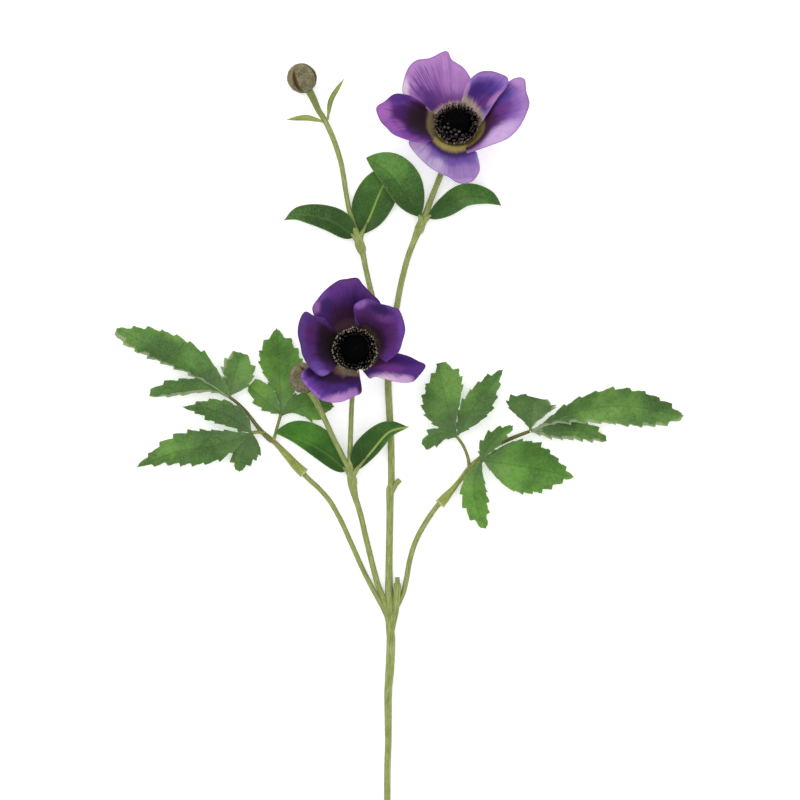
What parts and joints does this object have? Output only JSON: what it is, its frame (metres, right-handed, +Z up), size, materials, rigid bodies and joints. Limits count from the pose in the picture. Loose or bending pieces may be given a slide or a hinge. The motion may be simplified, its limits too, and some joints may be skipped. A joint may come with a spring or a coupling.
{
  "type": "anemone spray",
  "caption": "Cut anemone spray lying on a surface: branching stem with open flowers, round buds, smooth leaves and toothed compound leaves.",
  "frame": {"origin": "middle of the footprint, on the surface that the spray lies on", "axes": "+Y along the stem from its cut end towards the flower heads, +Z up off the surface, the way that the flowers face, +X to the side of the top flower"},
  "size_m": [0.3149, 0.4828, 0.0457],
  "materials": {
    "stem": "matte, wrapped",
    "leaf_stalk": "satin",
    "leaf": "matte",
    "bract": "matte",
    "top_petal": "soft matte",
    "middle_petal": "soft matte",
    "flower_centre": "matte",
    "bud": "fuzzy"
  },
  "bodies": {
    "root": {"stem": "stem", "bud_top": "bud", "bud_side": "bud", "top_flower_petal_north": "top_petal", "top_flower_petal_south": "top_petal", "top_flower_petal_south_east": "top_petal", "top_flower_petal_west": "top_petal", "top_flower_petal_north_east": "top_petal", "top_flower_centre": "flower_centre", "middle_flower_petal_north": "middle_petal", "middle_flower_petal_south_west": "middle_petal", "middle_flower_petal_south_east": "middle_petal", "middle_flower_petal_west": "middle_petal", "middle_flower_petal_east": "middle_petal", "middle_flower_centre": "flower_centre", "bud_leaf_left": "leaf", "bud_leaf_right": "leaf", "top_leaf_left": "leaf", "top_leaf_right": "leaf", "middle_leaf_left": "leaf", "middle_leaf_right": "leaf", "bract_left": "bract", "bract_right": "bract", "left_leaf_stalk": "leaf_stalk", "left_leaf_blade_end": "leaf", "left_leaf_blade_side": "leaf", "left_leaf_blade_inner": "leaf", "right_leaf_stalk": "leaf_stalk", "right_leaf_blade_end": "leaf", "right_leaf_blade_side": "leaf", "right_leaf_blade_inner": "leaf"}
  },
  "joints": []
}
